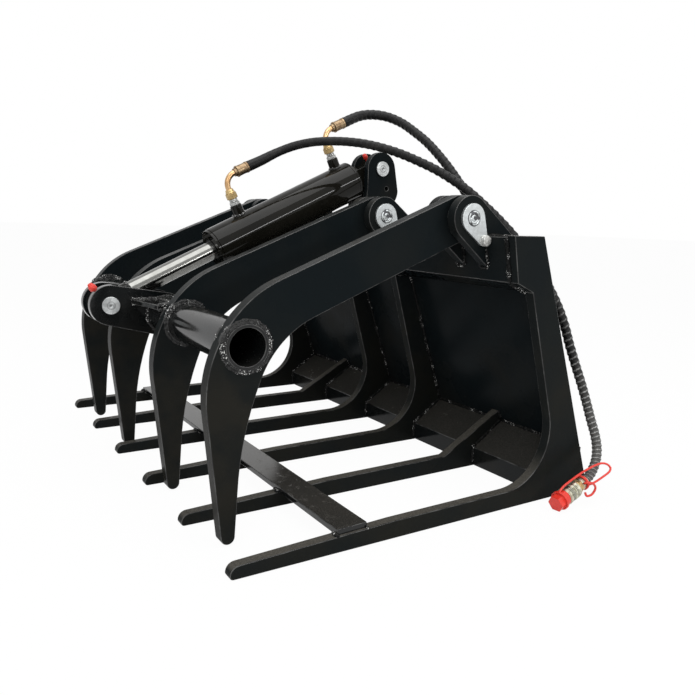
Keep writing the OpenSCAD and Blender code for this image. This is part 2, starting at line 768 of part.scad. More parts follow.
piston_front = barrel_front - gland_len - seat_gap;
rod_from = piston_front - piston_len - piston_back / 3;
module rod() {
    color([0.82, 0.83, 0.85])
    on_cylinder() translate([0, 0, rod_from])
        cylinder(d = rod_d, h = cyl_len - rod_eye_r - eye_neck_len - rod_from);
}
module piston() {
    color([0.5, 0.5, 0.52])
    on_cylinder() translate([0, 0, piston_front - piston_len]) difference() {
        cylinder(r = barrel_bore / 2 - running, h = piston_len);
        translate([0, 0, -overrun]) cylinder(r = rod_d / 2 + fit, h = piston_len + 2 * overrun);
    }
}
module rod_eye() {
    color([0.06, 0.06, 0.065])
    on_cylinder() translate([0, 0, cyl_len]) difference() {
        union() {
            rotate([0, 90, 0]) cylinder(r = rod_eye_r, h = 2 * eye_half, center = true);
            translate([0, 0, -rod_eye_r - eye_neck_len]) cylinder(r = eye_neck_r, h = eye_neck_len + overrun);
        }
        rotate([0, 90, 0]) cylinder(r = rod_eye_bore, h = clevis_gap + overrun, center = true);
    }
}

// Hoses

// Smooth curve through route points
function spline(p, n) =
    [for (i = [0:len(p) - 2]) let (a = p[max(i - 1, 0)], b = p[i], c = p[i + 1], d = p[min(i + 2, len(p) - 1)])
     for (j = [0:(i == len(p) - 2 ? n : n - 1)]) let (t = j / n)
     0.5 * (2 * b + (c - a) * t + (2 * a - 5 * b + 4 * c - d) * t * t + (3 * b - a - 3 * c + d) * t * t * t)];
function unit(v) = v / norm(v);
function tangent(p, i) = unit(p[min(i + 1, len(p) - 1)] - p[max(i - 1, 0)]);
// Side direction carried along the curve, so that the tube doesn't twist
function carried(p, i, last) = let (t = tangent(p, i)) unit(last - (last * t) * t);
function sides(p, i, last) =
    i >= len(p) ? [] : let (now = carried(p, i, last)) concat([now], sides(p, i + 1, now));
module swept(p, d, n, start) {
    s = sides(p, 0, start);
    rings = [for (i = [0:len(p) - 1]) let (u = s[i], v = cross(tangent(p, i), u))
             for (k = [0:n - 1]) p[i] + d / 2 * (u * cos(360 * k / n) + v * sin(360 * k / n))];
    last = (len(p) - 1) * n;
    polyhedron(rings, concat(
        [[for (k = [0:n - 1]) k]],
        [for (i = [0:len(p) - 2]) for (k = [0:n - 1])
         [i * n + k, (i + 1) * n + k, (i + 1) * n + (k + 1) % n, i * n + (k + 1) % n]],
        [[for (k = [n - 1:-1:0]) last + k]]));
}

// Routes from the ferrules at the cylinder over the frame to the couplers
hose_1_route = [
    [0, -99.4, 626.2], [1, -69, 640.5], [9, -35, 659], [24, -2, 674], [46, 30, 683], [71, 61, 686],
    [99, 90, 685], [129, 117, 680], [160, 142, 671], [192, 164, 659], [224, 185, 644],
    [257, 205, 627], [288, 224, 607], [318, 241, 585], [347, 257, 559], [374, 273, 532],
    [399, 289, 503], [422, 305, 471], [442, 322, 438], [459, 337, 404], [473, 352, 367],
    [483, 365, 329], [491, 376, 289], [500, 388, 249], [511, 398, 210], [522, 404.5, 174],
    [535.2, 404.8, 143.7], [547, 407.2, 113.9], [557.7, 402.2, 90.8], [567.3, 389.6, 70.8],
    [574.4, 371.5, 54.4], [577.75, 356, 45.1], [578.95, 345.35, 41.3]];
hose_2_route = [
    [0, 136.5, 737.3], [3.7, 175.4, 755.2], [15.3, 205.1, 760.3], [36.5, 232, 755.9], [66.7, 252.1, 741.3],
    [102, 264, 719], [135, 273, 696], [168, 279, 669], [200, 284, 640], [230, 288, 610],
    [259, 293, 577], [286, 298, 543], [311, 305, 508], [334, 312, 471], [355, 319, 434],
    [375, 328, 396], [392, 338, 357], [408, 348, 318], [421, 360, 279], [430, 375, 241],
    [436, 392, 205], [435, 410, 172], [429, 427, 142], [420, 442, 113], [408, 456, 83],
    [395, 467, 58], [380, 474.5, 40.7], [362, 479.3, 28.6], [346, 481.8, 22], [332, 482.9, 19.4],
    [319.4, 483, 19]];
hose_sides = 10;
module hose_1() { color([0.09, 0.09, 0.09]) swept(spline(hose_1_route, 2), hose_d, hose_sides, [1, 0, 0]); }
module hose_2() { color([0.09, 0.09, 0.09]) swept(spline(hose_2_route, 2), hose_d, hose_sides, [1, 0, 0]); }

// Couplers, drawn along +Z from the end of their hose

coupler_1_at = [579, 345, 41.2];
coupler_1_yaw = 7;
coupler_1_pitch = 16;
coupler_2_at = [319, 483, 19];
module on_coupler_1() {
    translate(coupler_1_at) rotate([0, 0, coupler_1_yaw]) rotate([90 + coupler_1_pitch, 0, 0]) children();
}
module on_coupler_2() { translate(coupler_2_at) rotate([0, -90, 0]) children(); }
crimp_len = 18;
hex_len = 8;
hex_af = 24;
ring_len = 4;
nose_r = 12;
nose_len = 13;
coupler_core_r = 14;
sleeve_travel = 5;
sleeve_from = crimp_len + hex_len + sleeve_travel + seat_gap;
sleeve_end = sleeve_from + sleeve_len;
cap_from_z = sleeve_end + seat_gap;
cap_wall = 3;
collar_r = 15.5;
module crimp() {
    difference() {
        cylinder(d = ferrule_d, h = crimp_len);
        translate([0, 0, -overrun]) cylinder(r = stack_bore, h = crimp_len + 2 * overrun);
    }
}
module hose_crimps() {
    color([0.75, 0.68, 0.45]) {
        on_coupler_1() crimp();
        on_coupler_2() crimp();
    }
}
module coupler_1_body() {
    color([0.78, 0.78, 0.76])
    on_coupler_1() difference() {
        union() {
            translate([0, 0, crimp_len]) cylinder(d = hex_af / cos(30), h = hex_len, $fn = 6);
            translate([0, 0, crimp_len + hex_len]) cylinder(r = coupler_core_r, h = sleeve_end - crimp_len - hex_len);
            translate([0, 0, sleeve_end]) cylinder(r = nose_r, h = nose_len);
        }
        translate([0, 0, crimp_len - overrun]) cylinder(r = stack_bore, h = sleeve_end + nose_len);
    }
}
module coupler_1_sleeve() {
    color([0.8, 0.8, 0.78])
    on_coupler_1() difference() {
        union() {
            translate([0, 0, sleeve_from]) cylinder(d = sleeve_d + 2 * fit, h = ring_len);
            translate([0, 0, sleeve_from + ring_len]) cylinder(d = sleeve_d, h = sleeve_len - ring_len);
        }
        translate([0, 0, sleeve_from - overrun]) cylinder(r = coupler_core_r + running, h = sleeve_len + 2 * overrun);
    }
}
module dust_cap(from, bore_r) {
    difference() {
        union() {
            translate([0, 0, from]) cylinder(r = collar_r, h = cap_collar_len);
            translate([0, 0, from + cap_collar_len]) cylinder(d = cap_af / cos(30), h = cap_head_len, $fn = 6);
        }
        translate([0, 0, from - overrun]) cylinder(r = bore_r, h = nose_len + cap_wall / 3 + overrun);
    }
}
module coupler_1_cap() {
    color([0.85, 0.1, 0.06]) on_coupler_1() dust_cap(cap_from_z, nose_r + seat_gap);
}
male_from = crimp_len + hex_len;
male_len = sleeve_end - male_from;
module coupler_2_body() {
    color([0.78, 0.78, 0.76])
    on_coupler_2() difference() {
        union() {
            translate([0, 0, crimp_len]) cylinder(d = hex_af / cos(30), h = hex_len, $fn = 6);
            translate([0, 0, male_from]) cylinder(r = coupler_core_r, h = male_len);
            translate([0, 0, male_from + male_len]) cylinder(r = nose_r, h = nose_len);
        }
        translate([0, 0, crimp_len - overrun]) cylinder(r = stack_bore, h = male_from + male_len + nose_len);
    }
}
module coupler_2_cap() {
    color([0.85, 0.1, 0.06]) on_coupler_2() dust_cap(cap_from_z, nose_r + seat_gap);
}

// Strap that ties a dust cap to its hose: one band round the cap's collar, one round the crimp
strap_r = 2.2;
strap_sides = 8;
band_wall = 2.5;
band_h = 5;
crimp_band_z = 4;
collar_band_z = cap_from_z + cap_collar_len - band_h - fit;
// Points in the coupler's frame, +Y is upwards
strap_route = [
    [0, 16.8, 78], [0, 20.5, 73], [0, 23, 62], [1, 24, 38], [2, 23, 5], [6, 22, -25], [12, 21, -43],
    [18, 15.5, -53], [24, 9, -54], [26, 5, -46], [25, 4, -31], [21, 1.5, -12], [17.5, 0.5, 0],
    [13.8, 0, 6.5]];
module band(r, from) {
    difference() {
        translate([0, 0, from]) cylinder(r = r + seat_gap + band_wall, h = band_h);
        translate([0, 0, from - overrun]) cylinder(r = r + seat_gap, h = band_h + 2 * overrun);
    }
}
module strap_body() {
    swept(spline(strap_route, 2), 2 * strap_r, strap_sides, [1, 0, 0]);
    band(collar_r, collar_band_z);
    band(ferrule_d / 2, crimp_band_z);
}
module coupler_1_strap() { color([0.85, 0.1, 0.06]) on_coupler_1() strap_body(); }
module coupler_2_strap() { color([0.85, 0.1, 0.06]) on_coupler_2() rotate([0, 0, -90]) mirror([1, 0, 0]) strap_body(); }

side_tine_left();
side_tine_right();
rib_tine_left();
rib_tine_right();
short_tine_left();
short_tine_right();
front_strip();
deck_plates();
back_plate();
top_member();
arm_lugs_1();
arm_lugs_2();
arm_lugs_3();
arm_lugs_4();
cylinder_lugs();
hook_lip();
lock_ledge();
arm_pin_1();
arm_pin_2();
arm_pin_3();
arm_pin_4();
keeper_bolts();
base_pin();
base_pin_ring();
arm_1();
arm_2();
arm_3();
arm_4();
arm_hubs();
cross_tube();
clevis_plates();
gusset_plates();
rod_pin();
rod_pin_ring();
barrel_tube();
base_cap();
base_eye();
gland();
wiper_ring();
port_bosses();
port_adapters();
swivel_nuts();
bent_tubes();
ferrules();
base_grease_cap();
rod();
piston();
rod_eye();
rod_grease_cap();
hose_1();
hose_2();
hose_crimps();
coupler_1_body();
coupler_1_sleeve();
coupler_1_cap();
coupler_1_strap();
coupler_2_body();
coupler_2_cap();
coupler_2_strap();
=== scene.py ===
from math import cos, radians, sin, sqrt, tau

import bpy
from mathutils import Matrix, Vector, noise


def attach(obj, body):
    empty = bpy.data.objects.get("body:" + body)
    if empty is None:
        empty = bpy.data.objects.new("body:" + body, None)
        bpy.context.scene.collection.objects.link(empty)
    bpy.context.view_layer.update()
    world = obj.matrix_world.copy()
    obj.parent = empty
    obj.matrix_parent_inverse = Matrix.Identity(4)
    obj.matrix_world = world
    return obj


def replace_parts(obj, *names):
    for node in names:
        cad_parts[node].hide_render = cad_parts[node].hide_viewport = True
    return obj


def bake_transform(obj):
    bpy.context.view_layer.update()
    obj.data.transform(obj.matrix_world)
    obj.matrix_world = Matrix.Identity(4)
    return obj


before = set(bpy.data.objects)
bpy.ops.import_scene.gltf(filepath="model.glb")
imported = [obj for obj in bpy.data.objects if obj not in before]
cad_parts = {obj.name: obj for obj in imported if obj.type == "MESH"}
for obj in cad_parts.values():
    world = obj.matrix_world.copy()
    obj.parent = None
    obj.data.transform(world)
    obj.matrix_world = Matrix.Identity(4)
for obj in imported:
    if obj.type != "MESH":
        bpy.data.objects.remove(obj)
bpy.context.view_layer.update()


# ---------------------------------------------------------------------------------------------
# Camera
# Stands half a metre above the floor in front of the grapple's right end, looks slightly down
# and is held a little crooked. Found from the six tines, equally spaced and parallel.
# ---------------------------------------------------------------------------------------------
turn, fall, roll = radians(57.54), radians(10.334), radians(1.723)
ahead = Vector((-sin(turn) * cos(fall), cos(turn) * cos(fall), -sin(fall)))
level_right = ahead.cross(Vector((0, 0, 1))).normalized()
level_up = level_right.cross(ahead)
camera = bpy.data.objects.new("camera", bpy.data.cameras.new("camera"))
bpy.context.scene.collection.objects.link(camera)
camera.data.sensor_width = 36
camera.data.lens = 36.468
camera.matrix_world = Matrix.Translation((1.4177, -0.7361, 0.5229)) @ Matrix((
    cos(roll) * level_right + sin(roll) * level_up,
    cos(roll) * level_up - sin(roll) * level_right,
    -ahead)).transposed().to_4x4()
bpy.context.scene.camera = camera


# ---------------------------------------------------------------------------------------------
# Hoses
# Two pressure hoses of black rubber over wire braid. Each is wrapped in a spiral guard, whose
# turns lie closer together towards the couplers. The ends are crimped into steel ferrules.
# ---------------------------------------------------------------------------------------------
class Value:
    """What one node gives to the next. A sum with a number or another adds a Math node."""

    def __init__(self, net, socket):
        self.net, self.socket = net, socket

    def _sum(self, kind, *terms):
        return self.net.node("ShaderNodeMath", {"operation": kind}, dict(enumerate(terms)))

    def __add__(self, other): return self._sum("ADD", self, other)
    def __radd__(self, other): return self._sum("ADD", other, self)
    def __sub__(self, other): return self._sum("SUBTRACT", self, other)
    def __rsub__(self, other): return self._sum("SUBTRACT", other, self)
    def __mul__(self, other): return self._sum("MULTIPLY", self, other)
    def __rmul__(self, other): return self._sum("MULTIPLY", other, self)


class Net:
    """A net of nodes. node() adds any node and gives back one of its outputs."""

    def __init__(self, tree):
        self.tree = tree

    def feed(self, node, socket, value):
        if isinstance(value, Value):
            self.tree.links.new(value.socket, node.inputs[socket])
        else:
            node.inputs[socket].default_value = value

    def node(self, kind, settings=None, inputs=None, out=0):
        made = self.tree.nodes.new(kind)
        for word, setting in (settings or {}).items():
            setattr(made, word, setting)
        for socket, value in (inputs or {}).items():
            self.feed(made, socket, value)
        return Value(self, made.outputs[out]) if made.outputs else made


class Finish(Net):
    """A surface finish on the material's own shader, whose sockets set() fills."""

    def __init__(self, name, **sockets):
        self.material = bpy.data.materials.new(name)
        self.material.use_nodes = True
        super().__init__(self.material.node_tree)
        self.shader = self.tree.nodes["Principled BSDF"]
        for words, value in sockets.items():
            self.set(words.replace("_", " ").title().replace("Ior", "IOR"), value)

    def set(self, socket, value):
        self.feed(self.shader, socket, value)

    def place(self):
        """Where a point of the surface is on the piece, in metres."""
        return self.node("ShaderNodeTexCoord", out="Object")

    def cloud(self, scale, detail=3):
        """Soft random patches, from about 0.3 to 0.7, so many to the metre."""
        return self.node("ShaderNodeTexNoise", inputs={
            "Vector": self.place(), "Scale": scale, "Detail": detail})

    def cells(self, scale):
        """Distance from the nearest of many scattered points, so many to the metre."""
        return self.node("ShaderNodeTexVoronoi", {"feature": "F1"},
                         {"Vector": self.place(), "Scale": scale}, out="Distance")

    def between(self, value, low, high):
        """Rises from 0 to 1 as the value goes from low to high."""
        return self.node("ShaderNodeMapRange", {"interpolation_type": "SMOOTHSTEP"},
                         {"Value": value, "From Min": low, "From Max": high}, out="Result")

    def blend(self, share, first, second):
        """A colour between two, by a share from 0 to 1."""
        return self.node("ShaderNodeMix", {"data_type": "RGBA"},
                         {0: share, 6: first, 7: second}, out=2)

    def bump(self, height, distance, strength, normal=None):
        """A normal for a height from 0 to 1 that stands for a distance in metres."""
        inputs = {"Height": height, "Distance": distance, "Strength": strength}
        if normal:
            inputs["Normal"] = normal
        return self.node("ShaderNodeBump", inputs=inputs)

    def near_ground(self, high, low):
        """Rises from 0 to 1 as the height falls from high to low."""
        height = self.node("ShaderNodeSeparateXYZ", inputs={"Vector": self.place()}, out="Z")
        return self.between(height, high, low)


def grey(level):
    return level, level, level, 1


def spline(points, steps):
    """The smooth curve on which the CAD hoses run, through the same points."""
    line = []
    last = len(points) - 1
    for i in range(last):
        a, b, c, d = (points[min(max(j, 0), last)] for j in (i - 1, i, i + 1, i + 2))
        for j in range(steps):
            t = j / steps
            line.append(0.5 * (2 * b + (c - a) * t + (2 * a - 5 * b + 4 * c - d) * t * t
                               + (3 * b - a - 3 * c + d) * t ** 3))
    return line + [points[last]]


def evenly(line, step):
    """The same line in equal steps, with the distance run at each."""
    runs = [0.0]
    for a, b in zip(line, line[1:]):
        runs.append(runs[-1] + (b - a).length)
    count = max(2, round(runs[-1] / step))
    placed, i = [], 0
    for k in range(count + 1):
        run = runs[-1] * k / count
        while i < len(runs) - 2 and runs[i + 1] < run:
            i += 1
        placed.append((line[i].lerp(line[i + 1], (run - runs[i]) / (runs[i + 1] - runs[i])), run))
    return placed


def directions(line, first_side, closed=False):
    """Tangent and two cross directions at each point, carried along without a twist."""
    side, found = Vector(first_side), []
    last = len(line) - 1
    for i in range(last + 1):
        before = line[i - 1] if i or closed else line[0]
        after = line[(i + 1) % (last + 1)] if i < last or closed else line[last]
        along = (after - before).normalized()
        side = (side - side.dot(along) * along).normalized()
        found.append((along, side, along.cross(side)))
    return found


def read_off(table, run):
    """Value of a table of (distance, value) pairs, with straight lines between them."""
    for (x0, y0), (x1, y1) in zip(table, table[1:]):
        if run <= x1:
            return y0 + (y1 - y0) * (max(run, x0) - x0) / (x1 - x0)
    return table[-1][1]


def new_piece(name, corners, faces, material, smooth=True):
    mesh = bpy.data.meshes.new(name)
    mesh.from_pydata([tuple(c) for c in corners], [], faces)
    mesh.polygons.foreach_set("use_smooth", [smooth] * len(mesh.polygons))
    mesh.materials.append(material)
    mesh.validate()
    mesh.update()
    piece = bpy.data.objects.new(name, mesh)
    bpy.context.scene.collection.objects.link(piece)
    return piece


def tube_faces(rings, sides, start=0, closed=False):
    """Faces between rings of corners, with a cap at both ends of an open tube."""
    faces = []
    for i in range(rings if closed else rings - 1):
        a, b = start + i * sides, start + (i + 1) % rings * sides
        faces += [(a + k, a + (k + 1) % sides, b + (k + 1) % sides, b + k) for k in range(sides)]
    if not closed:
        faces.append(tuple(start + k for k in reversed(range(sides))))
        faces.append(tuple(start + (rings - 1) * sides + k for k in range(sides)))
    return faces


rubber = Finish("hose_rubber", specular_ior_level=0.18, roughness=0.5)
dusty = rubber.between(rubber.cloud(55, 5), 0.48, 0.78)
upper_rubber = rubber.blend(dusty, (0.005, 0.005, 0.0052, 1), (0.019, 0.018, 0.017, 1))
# The hose is painted lighter grey towards the ground
rubber.set("Base Color", rubber.blend(rubber.near_ground(0.30, 0.05), upper_rubber,
                                      (0.085, 0.084, 0.08, 1)))
rubber.set("Roughness", 0.28 + 0.2 * rubber.cloud(140))
rubber.set("Normal", rubber.bump(rubber.cells(900.0), 0.0004, 0.5))
# Near the couplers the lip of each turn of the guard is painted light grey as a painted highlight,
# patchy and stronger towards the ground, and catches the light
lip_rubber = Finish("lip_highlight", specular_ior_level=0.5)
highlight_patches = lip_rubber.between(lip_rubber.cloud(120, 4), 0.35, 0.65) * 0.5 + 0.5
lip_rubber.set("Base Color", lip_rubber.blend(highlight_patches * lip_rubber.near_ground(0.42, 0.08),
                                              (0.03, 0.03, 0.029, 1), (0.34, 0.34, 0.33, 1)))
lip_rubber.set("Roughness", 0.28 + 0.2 * lip_rubber.cloud(160))

HOSE_SIDES = 22
RING_STEP = 0.0015
# Points of the two routes in mm, from the barrel to the couplers
hose_routes = {
    "hose_1": [
        (0, -99.4, 626.2), (1, -69, 640.5), (9, -35, 659), (24, -2, 674), (46, 30, 683),
        (71, 61, 686), (99, 90, 685), (129, 117, 680), (160, 142, 671), (192, 164, 659),
        (224, 185, 644), (257, 205, 627), (288, 224, 607), (318, 241, 585), (347, 257, 559),
        (374, 273, 532), (399, 289, 503), (422, 305, 471), (442, 322, 438), (459, 337, 404),
        (473, 352, 367), (483, 365, 329), (491, 376, 289), (500, 388, 249), (511, 398, 210),
        (522, 404.5, 174), (535.2, 404.8, 143.7), (547, 407.2, 113.9), (557.7, 402.2, 90.8),
        (567.3, 389.6, 70.8), (574.4, 371.5, 54.4), (577.75, 356, 45.1), (578.95, 345.35, 41.3)],
    "hose_2": [
        (0, 136.5, 737.3), (3.7, 175.4, 755.2), (15.3, 205.1, 760.3), (36.5, 232, 755.9),
        (66.7, 252.1, 741.3), (102, 264, 719), (135, 273, 696), (168, 279, 669), (200, 284, 640),
        (230, 288, 610), (259, 293, 577), (286, 298, 543), (311, 305, 508), (334, 312, 471),
        (355, 319, 434), (375, 328, 396), (392, 338, 357), (408, 348, 318), (421, 360, 279),
        (430, 375, 241), (436, 392, 205), (435, 410, 172), (429, 427, 142), (420, 442, 113),
        (408, 456, 83), (395, 467, 58), (380, 474.5, 40.7), (362, 479.3, 28.6),
        (346, 481.8, 22), (332, 482.9, 19.4), (319.4, 483, 19)]}
# Radius along each hose, how far the guard's turns stand up, and how far apart they are
girths = {"hose_1": [(0, 0.0112), (0.04, 0.0105), (0.08, 0.0091), (1.2, 0.0091)],
          "hose_2": [(0, 0.0115), (0.05, 0.0110), (0.15, 0.0101), (0.5, 0.0093), (1.1, 0.0091)]}
ridges = {"hose_1": [(0, 0.00006), (0.2, 0.00015), (0.34, 0.0008), (1.2, 0.0008)],
          "hose_2": [(0, 0.0003), (0.1, 0.0006), (0.3, 0.0006), (1.1, 0.0008)]}
pitches = {"hose_1": [(0, 0.013), (0.6, 0.0145), (0.95, 0.0125), (1.08, 0.0095), (1.2, 0.0085)],
           "hose_2": [(0, 0.012), (0.3, 0.014), (0.9, 0.0125), (1.1, 0.009)]}
# A turn of the guard rises over a first share of its pitch, and its lip lies between two more;
# the lips carry a painted highlight beyond a distance from the barrel
CLIMB, LIP_FROM, LIP_TO = 0.72, 0.44, 0.74
LIP_HIGHLIGHT_FROM = 0.70
# Each hose is one piece along its route, in place of the CAD hose
for name, route in hose_routes.items():
    centre = evenly(spline([Vector(p) / 1000 for p in route], 12), RING_STEP)
    line = [point for point, run in centre]
    corners, lips, turns = [], [], 0.0
    for (point, run), (along, side, up) in zip(centre, directions(line, (1, 0, 0))):
        turns += RING_STEP / read_off(pitches[name], run)
        for k in range(HOSE_SIDES):
            phase = (turns - k / HOSE_SIDES) % 1
            lip = phase / CLIMB if phase < CLIMB else (1 - phase) / (1 - CLIMB)
            lips.append(run > LIP_HIGHLIGHT_FROM and LIP_FROM < phase < LIP_TO)
            radius = read_off(girths[name], run) + read_off(ridges[name], run) * (2 * lip - 1)
            a = tau * k / HOSE_SIDES
            corners.append(point + radius * (cos(a) * side + sin(a) * up))
    hose = new_piece(f"{name}_guarded", corners, tube_faces(len(line), HOSE_SIDES),
                     rubber.material)
    hose.data.materials.append(lip_rubber.material)
    for face in hose.data.polygons:
        on_lip = sum(lips[v] for v in face.vertices) > 2 and len(face.vertices) == 4
        face.material_index = int(on_lip)
    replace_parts(hose, name)
    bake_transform(hose)
    line[::8] + [line[-1]]


# ---------------------------------------------------------------------------------------------
# Painted steel plates
# Tines, arms, lugs and plates are cut from 8 to 25 mm steel, welded and sprayed with black
# enamel. The cut edges are slightly eased, rubbed and painted lighter as a painted highlight.
# Dust lies on what faces up, and those tops are painted lighter also as painted top light.
# ---------------------------------------------------------------------------------------------
def joined_corners():
    """Joins the corners of a CAD mesh again, so that its edges can be eased and shaded."""
    group = bpy.data.node_groups.new("joined_corners", "GeometryNodeTree")
    for way in ("INPUT", "OUTPUT"):
        group.interface.new_socket("Geometry", in_out=way, socket_type="NodeSocketGeometry")
    net = Net(group)
    joined = net.node("GeometryNodeMergeByDistance", inputs={
        "Geometry": net.node("NodeGroupInput"), "Distance": 0.00001})
    plain = net.node("GeometryNodeRemoveAttribute", inputs={
        "Geometry": joined, "Name": "custom_normal"})
    smooth = net.node("GeometryNodeSetShadeSmooth", inputs={"Geometry": plain})
    angle = net.node("GeometryNodeInputMeshEdgeAngle", out="Unsigned Angle")
    steep = net.node("FunctionNodeCompare", {"operation": "GREATER_THAN"},
                     {"A": angle, "B": radians(28)})
    sharp = net.node("GeometryNodeSetShadeSmooth", {"domain": "EDGE"}, {
        "Geometry": smooth, "Selection": steep, "Shade Smooth": False})
    net.node("NodeGroupOutput", inputs={0: sharp})
    return group


corner_joiner = joined_corners()


def ease(piece, edge, edge_slot=-1):
    """Joins a piece's corners and rounds its edges by a radius in metres."""
    piece.modifiers.new("joined", "NODES").node_group = corner_joiner
    if edge:
        flat = piece.modifiers.new("flat", "DECIMATE")
        flat.decimate_type = "DISSOLVE"
        flat.angle_limit = radians(0.3)
        eased = piece.modifiers.new("eased", "BEVEL")
        eased.width, eased.segments = edge, 2
        eased.limit_method, eased.angle_limit = "ANGLE", radians(30)
        eased.use_clamp_overlap = False
        eased.harden_normals = True
        eased.material = edge_slot


def dress(names, material, edge=0.0, edge_material=None):
    """Gives CAD nodes their finish, and their rounded edges one of their own."""
    for name in names:
        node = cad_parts[name]
        node.data.materials.clear()
        node.data.materials.append(material)
        if edge_material:
            node.data.materials.append(edge_material)
        ease(node, edge, 1 if edge_material else -1)


def enamel(name, cool, warm, gloss, shine, top_dust_and_light=0.05, scuffed=0.07, grounded=0.0, lumps=0.0,
           glints=0.0):
    """Black enamel: a faint ripple, warmer and duller patches, dust specks and scuffed tops.
    What faces up is painted lighter, as dust and as painted top light. What is grounded turns
    warm near the ground. Lumps and glints are for welds; the glints are painted glints, bright
    specks in the colour."""
    paint = Finish(name, specular_ior_level=shine)
    up = paint.node("ShaderNodeSeparateXYZ",
                    inputs={"Vector": paint.node("ShaderNodeTexCoord", out="Normal")}, out="Z")
    lying = paint.between(up, 0.35, 0.95)
    dots = paint.between(paint.cells(170.0), 0.16, 0.06) * paint.between(paint.cloud(19), 0.5, 0.68)
    haze = paint.between(paint.cloud(6, 6), 0.38, 0.72)
    scuffs = paint.between(paint.cloud(75, 8), 0.52, 0.74) * lying
    grit = paint.between(paint.cloud(420, 3), 0.35, 0.7)
    # What faces up is painted dust coloured: partly dust, partly painted top light
    dust_and_top_light = dots * (0.06 + 0.12 * lying) + lying * (0.7 + 0.6 * grit) * top_dust_and_light + scuffed * scuffs
    mottled = 0.35 + 0.65 * paint.between(paint.cloud(16, 7), 0.34, 0.62)
    warmth = haze * (1 - grounded) + grounded * (paint.near_ground(0.37, 0.25) * mottled)
    coat = paint.blend(dust_and_top_light, paint.blend(warmth, (*cool, 1), (*warm, 1)), (0.20, 0.185, 0.16, 1))
    paint.set("Roughness", gloss * (1 + haze) + 0.5 * dots + 0.2 * scuffs)
    ripple = paint.cloud(150, 2) + 0.6 * paint.cloud(38, 2)
    normal = paint.bump(ripple, 0.00007, 0.4)
    if lumps:
        normal = paint.bump(paint.cloud(560, 3), 0.0022, lumps, normal)
    # Painted glints: sparse bright specks in the colour, standing in for sparkle on the welds
    if glints:
        glint_specks = paint.between(paint.cloud(430, 2), 0.58, 0.64)
        glint_specks = glint_specks * paint.between(paint.cloud(42, 2), 0.50, 0.58)
        coat = paint.blend(glint_specks * glints, coat, (0.80, 0.80, 0.78, 1))
    paint.set("Base Color", coat)
    paint.set("Normal", normal)
    return paint.material


black_paint = enamel("black_paint", (0.0066, 0.0092, 0.0104), (0.0128, 0.0132, 0.0122),
                     0.22, 0.02, top_dust_and_light=0.06)
arm_paint = enamel("arm_paint", (0.0066, 0.0092, 0.0104), (0.0185, 0.0175, 0.0145),
                   0.22, 0.02, top_dust_and_light=0.06, grounded=0.75)
tine_paint = enamel("tine_paint", (0.0088, 0.0110, 0.0118), (0.0145, 0.0145, 0.0122),
                    0.22, 0.02, top_dust_and_light=0.34, grounded=0.6)
strip_paint = enamel("strip_paint", (0.004, 0.005, 0.0055), (0.010, 0.0095, 0.009),
                     0.07, 0.36, top_dust_and_light=0.15)
deck_paint = enamel("deck_paint", (0.007, 0.0085, 0.0090), (0.013, 0.0128, 0.0115),
                    0.10, 0.12, top_dust_and_light=0.17, scuffed=0.015)
glossy_paint = enamel("glossy_paint", (0.005, 0.0062, 0.0068), (0.011, 0.0108, 0.010),
                      0.07, 0.30, top_dust_and_light=0.03)
# On the cut edges the enamel is thin and rubbed, and painted lighter in patches as a painted
# highlight along each edge
edge_paint = Finish("rubbed_lit_edges", specular_ior_level=0.35)
rubbed_and_lit = edge_paint.between(edge_paint.cloud(34, 6), 0.36, 0.66)
edge_paint.set("Base Color", edge_paint.blend(rubbed_and_lit, (0.010, 0.010, 0.010, 1),
                                              (0.065, 0.065, 0.063, 1)))
edge_paint.set("Roughness", 0.16 + 0.2 * rubbed_and_lit)
edge_paint.set("Normal", edge_paint.bump(edge_paint.cloud(300, 2), 0.0001, 0.4))

CUT_EDGE = 0.0012
for paint, names in (
        (tine_paint, ["side_tine_left", "side_tine_right", "rib_tine_left", "rib_tine_right",
                      "short_tine_left", "short_tine_right"]),
        (black_paint, ["back_plate", "top_member", "arm_lugs_1", "arm_lugs_2", "arm_lugs_3",
                       "arm_lugs_4", "cylinder_lugs", "hook_lip", "lock_ledge", "arm_hubs"]),
        (arm_paint, ["arm_1", "arm_2", "arm_3", "arm_4"]),
        (strip_paint, ["front_strip"]),
        (deck_paint, ["deck_plates"]),
        (glossy_paint, ["cross_tube", "clevis_plates", "gusset_plates"])):
    dress(names, paint, CUT_EDGE, edge_paint.material)


# ---------------------------------------------------------------------------------------------
# Cylinder
# A welded barrel with a turned gland, black enamelled, and a chromed rod with a welded eye.
# A rubber ring in the gland wipes the rod.
# ---------------------------------------------------------------------------------------------
def metal(name, light, dark, dull, patch=60):
    """Bare or plated metal with fine grain and slightly darker, rougher patches."""
    made = Finish(name, metallic=1.0)
    patches = made.between(made.cloud(patch, 6), 0.25, 0.75)
    fine = made.cloud(300, 4)
    made.set("Base Color", made.blend(patches, (*dark, 1), (*light, 1)))
    made.set("Roughness", dull - 0.08 * patches + 0.2 * fine)
    made.set("Normal", made.bump(fine, 0.00008, 0.5))
    return made.material


cylinder_paint = enamel("cylinder_paint", (0.006, 0.0058, 0.0045), (0.013, 0.012, 0.0093),
                        0.035, 0.16, top_dust_and_light=0.0)
chrome_rod = metal("chrome_rod", (0.22, 0.22, 0.21), (0.18, 0.18, 0.17), 0.10)
dress(["barrel_tube", "base_cap", "base_eye", "gland", "port_bosses", "rod_eye"], cylinder_paint,
      0.0008)
dress(["piston"], cylinder_paint)
dress(["rod"], chrome_rod)
dress(["wiper_ring"], rubber.material)


